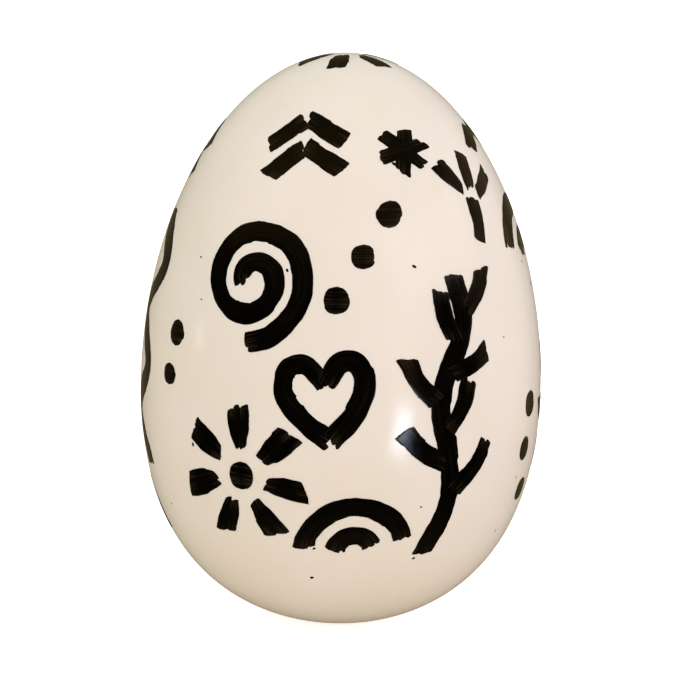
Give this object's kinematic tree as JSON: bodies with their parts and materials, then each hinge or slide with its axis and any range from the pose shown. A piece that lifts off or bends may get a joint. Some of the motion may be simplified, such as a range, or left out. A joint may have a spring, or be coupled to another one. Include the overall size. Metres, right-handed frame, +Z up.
{
  "type": "chocolate egg",
  "caption": "Large glossy white chocolate egg with dark hand-painted folk motifs, standing upright on a small flat at its blunt end.",
  "frame": {"origin": "middle of the small resting flat at the blunt end, on the egg's long axis", "axes": "+Z up along the egg's long axis, from the flat to the tip; -Y is the side that the picture shows; +X is to the right there"},
  "size_m": [0.1266, 0.1266, 0.18],
  "materials": {
    "white_chocolate": "polished white chocolate, soft gloss",
    "dark_cocoa_paint": "brushed cocoa-butter paint, near black, soft gloss"
  },
  "bodies": {
    "root": {"egg": "white_chocolate"}
  },
  "joints": []
}
